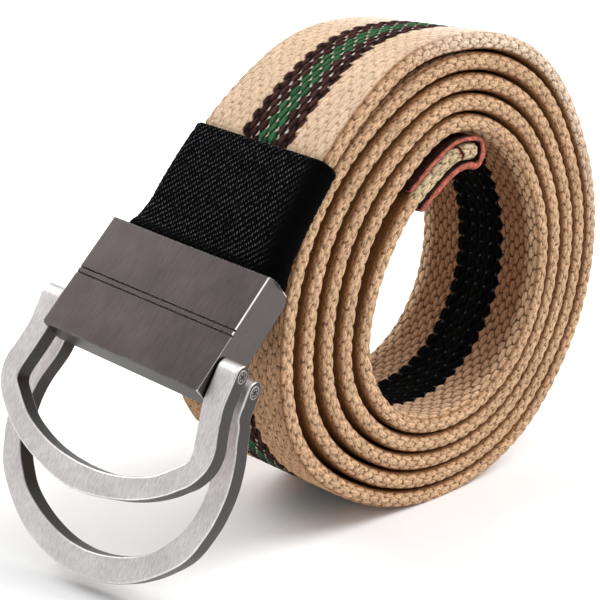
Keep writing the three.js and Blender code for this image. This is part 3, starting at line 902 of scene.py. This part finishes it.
def sleeve():
    """The black sleeve: a ribbed twill tube with a folded hem at the clamp and a rolled lip."""
    start, end = SLEEVE_S0 - SLEEVE_INTO, SLEEVE_S1
    s = np.linspace(start, end, int((end - start) / (SLEEVE_STEP * FINE)) + 1)
    p, a, n, wide = frames_at(s)
    loop = ribbon_loop(STRAP_WIDTH / 2, STRAP_THICK / 2, SLEEVE_ROUND, int(SLEEVE_COLUMNS / FINE),
                       13)
    cols = len(loop)
    u0, w0, out_u, out_w = loop.T
    arc = SLEEVE_ARC * (np.pi / 2 - np.arcsin(np.clip(out_w, -1, 1)))
    half = STRAP_WIDTH / 2 - SLEEVE_ROUND
    girth = np.where(out_u == 0, u0, np.sign(out_u) * (half + arc))
    calm = smoothstep(girth, *CALM_FAR) * smoothstep(girth, *CALM_NEAR)
    verts, uvs, tints = [], [], []

    def add_row(k, u, w, across, shown):
        verts.append(p[k] + a[k] * u[:, None] + n[k] * w[:, None])
        uvs.append(np.stack([across, np.full(cols, s[k])], 1))
        tints.append(shown)

    for k, place in enumerate(s):
        hem = 1 - smoothstep(place - start, HEM_LENGTH, HEM_LENGTH + HEM_FADE)
        rolled = (1 - min((end - place) / LIP_LENGTH, 1)) ** 2
        stitched = math.exp(-((end - place - STITCH_IN) / STITCH_WIDTH) ** 2)
        lip = (FIT_GAP + SLEEVE_WALL) * (1 - LIP_THINNER * rolled)
        lip += HEM_RISE * hem - STITCH_DEPTH * stitched
        rib = np.cos(2 * np.pi * (RIB_ACROSS[0] * girth + RIB_ACROSS[1] * place))
        step = np.cos(2 * np.pi * (RIB_ALONG[0] * girth + RIB_ALONG[1] * place))
        height = (RIB_HEIGHT * rib + RIB_STEP * step * (rib > 0)) * (1 - 0.8 * hem) - RIB_HEIGHT
        add_row(k, u0 + out_u * (lip + height), w0 + out_w * (lip + height), girth,
                calm * (1 - HEM_CALM * hem))
    lining = FIT_GAP * 0.6
    for k in range(len(s) - 1, -1, -4):
        u = u0 * min(wide[k] + 0.02, 1) + out_u * lining
        add_row(k, u, w0 + out_w * lining, u, np.zeros(cols))
    tint = np.repeat(np.concatenate(tints)[:, None], 4, 1)
    last = (len(verts) - 1) * cols
    ring = np.arange(cols)
    seam = np.stack([last + ring, last + (ring + 1) % cols, (ring + 1) % cols, ring], 1)
    faces = np.concatenate([grid_faces(len(verts), cols), seam])
    return mesh_object("sleeve_twill", np.concatenate(verts), faces, np.concatenate(uvs), tint)


hand_in(sleeve(), twill_material(), "belt", "strap_sleeve")


INNER_LEAF_EXTRA = 0.35
TAIL_SAMPLE = 0.04
LEATHER_SEAM_IN = 3.0
LEATHER_SEAM_WIDTH = 0.45
STITCH_PITCH = 2.2
STITCH_DIP = 0.22
LEATHER_STEP = 0.3
LEATHER_ROUND = 0.55
# Rounds of smoothing and size in mm of each layer of the leather's unevenness.
LEATHER_NOISE = ((2, 0.035), (6, 0.045), (16, 0.05))


def tip_path():
    """Middle line of the leather as it folds round the strap's end: points and outward normals."""
    tail = coil_points(np.array([COIL_TURNS - TAIL_SAMPLE, COIL_TURNS]))
    per_turn = np.linalg.norm(tail[1] - tail[0]) / TAIL_SAMPLE
    start = COIL_TURNS - TIP_LENGTH / per_turn
    p, _, n, _ = coil_frames(np.linspace(start, COIL_TURNS, 40))
    middle = STRAP_THICK / 2 + FIT_GAP + TIP_LEATHER / 2
    end_n = n[-1]
    end_along = np.array([end_n[2], 0, -end_n[0]])
    pts, nor = list(p + n * middle), list(n)
    for angle in np.radians(np.linspace(80, -80, 13)):
        ahead = middle * 0.75 * np.cos(angle) + FIT_GAP
        inner = middle + INNER_LEAF_EXTRA * (np.sin(angle) < 0)
        pts.append(p[-1] + end_n * inner * np.sin(angle) + end_along * ahead)
        nor.append(unit(end_n * np.sin(angle) + end_along * np.cos(angle)))
    pts += list((p - n * (middle + INNER_LEAF_EXTRA))[::-1])
    return np.array(pts), np.array(nor + list(-n[::-1]))


def resample(points, normals, step):
    """Even places along a line, with their points and normals."""
    s = lengths_along(points)
    at = np.linspace(0, s[-1], int(s[-1] / step) + 1)
    return at, read_at(at, s, points), unit(read_at(at, s, normals))


def leather_tip():
    """The folded leather: rough outside, with a stitched seam near each leaf's end. Its broad
    faces carry painted shadow; its edges show the raw leather colour.
    """
    points, normals = tip_path()
    at, p, n = resample(points, normals, LEATHER_STEP)
    loop = ribbon_loop(STRAP_WIDTH / 2, TIP_LEATHER / 2, LEATHER_ROUND, 90, 9)
    cols = len(loop)
    total = at[-1]
    local = np.random.default_rng(11)
    noise = np.zeros((len(at), cols))
    for rounds, size in LEATHER_NOISE:
        layer = local.normal(0, 1, noise.shape)
        for _ in range(rounds):
            layer = (layer + np.roll(layer, 1, 0) + np.roll(layer, -1, 0)
                     + np.roll(layer, 1, 1) + np.roll(layer, -1, 1)) / 5
        noise += size * layer / layer.std()
    verts, tints = [], []
    for k in range(len(at)):
        edge = min(at[k], total - at[k])
        thin = 1 - 0.45 * (1 - min(edge / 0.8, 1)) ** 2
        thick = 1 + INNER_LEAF_EXTRA * smoothstep(at[k] / total, 0.46, 0.54)
        u = loop[:, 0] * (0.992 + 0.004 * math.sin(at[k] * 0.7)) + loop[:, 2] * noise[k]
        seam = np.zeros(cols)
        for place in (LEATHER_SEAM_IN, total - LEATHER_SEAM_IN):
            near = np.exp(-((at[k] - place) / LEATHER_SEAM_WIDTH) ** 2)
            seam += near * (np.abs(loop[:, 3]) > 0.9)
        stitch = 0.5 + 0.5 * np.cos(2 * np.pi * u / STITCH_PITCH)
        dip = STITCH_DIP * seam * (1 - 0.9 * stitch)
        w = loop[:, 1] * thin * thick - np.sign(loop[:, 3]) * dip + noise[k] * loop[:, 3]
        verts.append(p[k] + np.array([0, 1, 0]) * u[:, None] + n[k] * w[:, None])
        # Broad faces take LEATHER_SHADOW, painted shadow; the edges take the raw leather colour.
        color = blend(LEATHER_SHADOW, LEATHER_RAW, smoothstep(np.abs(loop[:, 2]), 0.3, 0.9))
        color = blend(color, THREAD, seam * (stitch > 0.45))
        tints.append(np.concatenate([color, np.ones((cols, 1))], 1))
    return face_outward(mesh_object("leather_tip_fold", np.concatenate(verts),
                                    capped_tube(len(at), cols), None, np.concatenate(tints)))


hand_in(leather_tip(), leather_material(), "belt", "leather_tip")


_, ALONG, ACROSS, NORMAL, _, _ = RUN[-1]
CLAMP_AT = (RUN[-1][0] + ALONG * (CLAMP_LENGTH - POCKET_DEPTH + CLAMP_BULGE)
            + NORMAL * POCKET_LEVEL + ACROSS * CLAMP_ASIDE)
CLAMP_AXES = (ALONG, np.cross(NORMAL, ALONG), NORMAL)
CLAMP_BEVEL = 0.42 * MM


def bevelled_copy(node, name, metals):
    """A copy of a CAD node's mesh with its flat faces joined and its edges rounded and worn."""
    obj = add_object(name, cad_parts[node].data.copy())
    obj.data.materials.clear()
    for metal in metals:
        obj.data.materials.append(metal)
    obj.data.polygons.foreach_set("material_index", np.zeros(len(obj.data.polygons), np.int32))
    bm = bmesh.new()
    bm.from_mesh(obj.data)
    bmesh.ops.remove_doubles(bm, verts=bm.verts[:], dist=1e-6)
    bmesh.ops.dissolve_limit(bm, angle_limit=math.radians(1.0), verts=bm.verts[:],
                             edges=bm.edges[:])
    bm.to_mesh(obj.data)
    bm.free()
    bevel = obj.modifiers.new("bevel", "BEVEL")
    bevel.width = CLAMP_BEVEL
    bevel.segments = 3
    bevel.limit_method = "ANGLE"
    bevel.angle_limit = math.radians(32)
    bevel.use_clamp_overlap = True
    bevel.material = 1
    depsgraph = bpy.context.evaluated_depsgraph_get()
    mesh = bpy.data.meshes.new_from_object(obj.evaluated_get(depsgraph))
    obj.modifiers.clear()
    obj.data = mesh
    mesh.shade_smooth()
    weighted = obj.modifiers.new("weighted", "WEIGHTED_NORMAL")
    weighted.keep_sharp = True
    return obj


def cad_points(node):
    """A CAD node's points in metres."""
    return np.array([v.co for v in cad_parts[node].data.vertices])


def own_box(node, axes):
    """Lowest and highest corner of a node, in metres, in a part's own axes."""
    co = cad_points(node) @ np.array(axes).T
    return co.min(0), co.max(0)


clamp_metal = brushed_material("clamp_metal", CLAMP_AXES, srgb(80, 73, 73), srgb(70, 64, 64),
                               (300, 5500, 3000), 0.4,
                               box=own_box("buckle_clamp", CLAMP_AXES))
# srgb(34, 31, 31) is painted shade in the pin heads' hollows.
pin_metal = brushed_material("pin_metal", CLAMP_AXES, srgb(196, 190, 186), srgb(176, 170, 168),
                             (900, 3000, 3000), 0.5, srgb(34, 31, 31))
worn_metal = brushed_material("worn_metal", CLAMP_AXES, srgb(250, 246, 242),
                              srgb(214, 208, 206), (300, 3000, 1500), 0.6)
hand_in(bevelled_copy("buckle_clamp", "clamp_body", (clamp_metal, worn_metal)), None, "belt",
        "buckle_clamp")


def catmull_open(points, count):
    """Centripetal curve through points, sampled evenly along its length."""
    pts = np.asarray(points, float)
    pts = np.concatenate([[2 * pts[0] - pts[1]], pts, [2 * pts[-1] - pts[-2]]])
    gaps = np.maximum(np.linalg.norm(np.diff(pts, axis=0), axis=1), 1e-6) ** 0.5
    out = []
    for i in range(1, len(pts) - 2):
        at = np.concatenate([[0], np.cumsum(gaps[i - 1:i + 2])])
        for t in np.linspace(at[1], at[2], 24, endpoint=False):
            row = pts[i - 1:i + 3]
            for span in (1, 2):
                row = [((at[j + span] - t) * row[j] + (t - at[j]) * row[j + 1])
                       / (at[j + span] - at[j]) for j in range(4 - span)]
            out.append(((at[2] - t) * row[0] + (t - at[1]) * row[1]) / (at[2] - at[1]))
    out = np.array([*out, pts[-2]])
    s = lengths_along(out)
    return read_at(np.linspace(0, s[-1], count), s, out)


def half_outline(rows, reach, half, arm, length):
    """One side of a ring's outline: a straight arm and then a table of shares."""
    return [(0, arm), (length * 0.5, arm), (length, arm)] + [(a * reach, b * half)
                                                            for a, b in rows]


RING_EDGE = 0.4
RING_STATIONS = 130
# Depth of the ring's far end that is read for its direction.
FAR_END = 0.8
UPPER_SIDE_BAR = RING_BAR * 0.93
LOWER_SIDE_BAR = RING_BAR * 0.92
PIN_PROUD = 0.12
PIN_HEAD = PIN_RADIUS + 0.25
PUNCH_SHARE = 0.55
PUNCH_DIP = 0.25
RIM_SHARE = 0.78
RIM_DIP = 0.16


def ring_mesh(name, outer_rows, inner_rows, reach, flare, arm, side_bar, axes, at):
    """An open ring with softened edges and round arm ends, in the frame of its pin."""
    outer_half = ARM_OUTER + flare
    outer = catmull_open(half_outline(outer_rows, reach, outer_half, ARM_OUTER, arm),
                         RING_STATIONS)
    inner = catmull_open(half_outline(inner_rows, reach - RING_TIP_BAR, outer_half - side_bar,
                                      ARM_INNER, arm), RING_STATIONS)
    r = RING_THICK / 2
    outline = [(np.array([-r * math.cos(t), ARM_OUTER]), np.array([-r * math.cos(t), ARM_INNER]),
                r * math.sin(t)) for t in np.linspace(0.12, np.pi / 2, 9)[:-1]]
    outline += [(o, i, r) for o, i in zip(outer, inner)]
    outline += [(o * [1, -1], i * [1, -1], h) for o, i, h in outline[:-1]][::-1]
    verts, tints = [], []
    for o, i, h in outline:
        across = unit(o - i)
        bevel = min(RING_EDGE, h * 0.5)
        far, high = np.linalg.norm(o - i) - bevel, h - bevel
        for cx, cz, start in ((far, high, 0), (bevel, high, 90), (bevel, -high, 180),
                              (far, -high, 270)):
            for t in np.radians(start + np.linspace(0, 90, 4)):
                q = i + across * (cx + bevel * math.cos(t))
                verts.append((*q, cz + bevel * math.sin(t)))
                # The tint is 1 on the bar's two faces and 0 on its sides, which take painted
                # shade.
                tints.append([smoothstep(abs(math.sin(t)), 0.25, 0.6)] * 3 + [1.0])
    faces = capped_tube(len(outline), len(verts) // len(outline), 1)
    return face_outward(mesh_object(name, at + np.array(verts) @ np.array(axes), faces, None,
                                    tints))


def pin_middle(level):
    """Middle of the cross pin at a level below the clamp's top."""
    return CLAMP_AT - ALONG * PIN_SETBACK - NORMAL * level


def ring_axes(node, pin_level):
    """Axes of a ring about its pin: along, across and normal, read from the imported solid."""
    pin = pin_middle(pin_level)
    co = cad_points(node) / MM - SHIFT - pin
    co = co - np.outer(co @ ACROSS, ACROSS)
    far = np.linalg.norm(co, axis=1)
    along = unit(co[far > far.max() - FAR_END].mean(0))
    return (along, ACROSS, np.cross(along, ACROSS)), pin


for node, name, level, outer_rows, inner_rows, *sizes in (
    ("upper_ring", "upper_ring_bar", UPPER_PIN_LEVEL, UPPER_OUTER, UPPER_INNER, UPPER_REACH,
     UPPER_FLARE, UPPER_ARM, UPPER_SIDE_BAR),
    ("lower_ring", "lower_ring_bar", LOWER_PIN_LEVEL, LOWER_OUTER, LOWER_INNER, LOWER_REACH,
     LOWER_FLARE, LOWER_ARM, LOWER_SIDE_BAR),
):
    axes, pin = ring_axes(node, level)
    ring = ring_mesh(name, outer_rows, inner_rows, *sizes, axes, pin)
    ring.modifiers.new("weighted", "WEIGHTED_NORMAL")
    # srgb(78, 75, 74) is painted shade on the ring's sides.
    metal = brushed_material(name + "_metal", axes, srgb(234, 230, 229), srgb(218, 213, 212),
                             (700, 4500, 3000), 0.42, srgb(78, 75, 74))
    hand_in(ring, metal, node, node)


def pin_mesh(name, level):
    """A cross pin with a rounded, punched head at each end."""
    pin = pin_middle(level)
    half = ARM_OUTER + PIN_PROUD
    profile = [(-half + 0.1, 0.25), (-half, PIN_HEAD * PUNCH_SHARE),
               (-half + RIM_DIP, PIN_HEAD * RIM_SHARE), (-half, PIN_HEAD * 0.9),
               (-half + 0.08, PIN_HEAD), (-half + 0.3, PIN_HEAD), (-half + 0.3, PIN_RADIUS * 0.9)]
    profile += [(-y, r) for y, r in profile[::-1]]
    cols = 36
    verts, tints = [], []
    for y, r in profile:
        punched = abs(r / PIN_HEAD - PUNCH_SHARE) < 0.01
        rim = abs(r / PIN_HEAD - RIM_SHARE) < 0.01
        for t in 2 * np.pi * np.arange(cols) / cols:
            dip = (0.5 - 0.5 * math.cos(6 * t)) * punched
            place = y - PUNCH_DIP * dip * (1 if y > 0 else -1)
            verts.append(pin + ACROSS * place + ALONG * r * math.cos(t) + NORMAL * r * math.sin(t))
            # The tint is 0, painted shade, in the punched dips, in the groove and at the head's
            # middle.
            tints.append([(1 - dip) * (not rim) * (r > 0.3)] * 3 + [1.0])
    return face_outward(mesh_object(name, verts, capped_tube(len(profile), cols), None, tints))


for node, level in (("upper_pin", UPPER_PIN_LEVEL), ("lower_pin", LOWER_PIN_LEVEL)):
    hand_in(pin_mesh(node + "_head", level), pin_metal, "belt", node)


FLOOR_HALF = 3.0
SKY_LOW = 0.35
SKY_FULL_AT = 0.85
SUN_FROM = (0.62, -0.42, 0.75)
SUN_ENERGY = 2.1
SUN_WIDTH = math.radians(34)
PANEL_AT = (-0.26, 0.72, 0.70)
PANEL_TARGET = (-0.05, 0, 0.03)
PANEL_SIZE = 0.5
PANEL_ENERGY = 5.0


def stage_floor():
    """A plain pale floor."""
    m = Nodes.named("floor_paper")
    paper = m.ramp(m.noise(m.place(), 40, 2, 0.5), (0.3, 0.9), (0.7, 0.92))
    m.look(Base_Color=paper, Roughness=0.9)
    mesh = bpy.data.meshes.new("floor")
    corners = ((-1, -1), (1, -1), (1, 1), (-1, 1))
    mesh.from_pydata([(x * FLOOR_HALF, y * FLOOR_HALF, 0) for x, y in corners], [],
                     [(0, 1, 2, 3)])
    mesh.materials.append(m.owner)
    floor = add_object("floor", mesh)


def soft_sky():
    """A studio dome: bright overhead, dim towards the horizon."""
    m = Nodes(bpy.data.worlds.new("soft_sky"), "Background")
    split = m.split((m.add("ShaderNodeTexCoord"), "Generated"))
    m.look(Color=m.ramp((split, "Z"), (0, SKY_LOW), (SKY_FULL_AT, 1.0)))
    bpy.context.scene.world = m.owner


def add_light(name, kind, energy, toward):
    """A light that shines along the opposite of toward."""
    light = bpy.data.lights.new(name, kind)
    light.energy = energy
    obj = add_object(name, light)
    obj.rotation_euler = Vector(toward).to_track_quat("Z", "Y").to_euler()
    return obj


stage_floor()
soft_sky()
sun = add_light("sun", "SUN", SUN_ENERGY, SUN_FROM)
sun.data.angle = SUN_WIDTH
panel = add_light("back_panel", "AREA", PANEL_ENERGY, Vector(PANEL_AT) - Vector(PANEL_TARGET))
panel.data.shape = "RECTANGLE"
panel.data.size = panel.data.size_y = PANEL_SIZE
panel.location = PANEL_AT

CAMERA_AZIMUTH = -42.34
CAMERA_ELEVATION = 17.48
CAMERA_DISTANCE = 327.7
CAMERA_SENSOR = 36
CAMERA_LENS = 90
CAMERA_AIM = np.array([-28.64, 0.0, -2.31])
a, e = math.radians(CAMERA_AZIMUTH), math.radians(CAMERA_ELEVATION)
back = np.array([math.sin(a) * math.cos(e), -math.cos(a) * math.cos(e), math.sin(e)])
aim = (CAMERA_AIM + SHIFT) * MM
camera_data = bpy.data.cameras.new("camera")
camera_data.sensor_width = CAMERA_SENSOR
camera_data.lens = CAMERA_LENS
camera_data.clip_start = 0.01
camera = add_object("camera", camera_data)
camera.location = Vector(aim + back * CAMERA_DISTANCE * MM)
camera.rotation_euler = (math.radians(90) - e, 0, a)
bpy.context.scene.camera = camera
bpy.context.scene.view_settings.view_transform = "Standard"
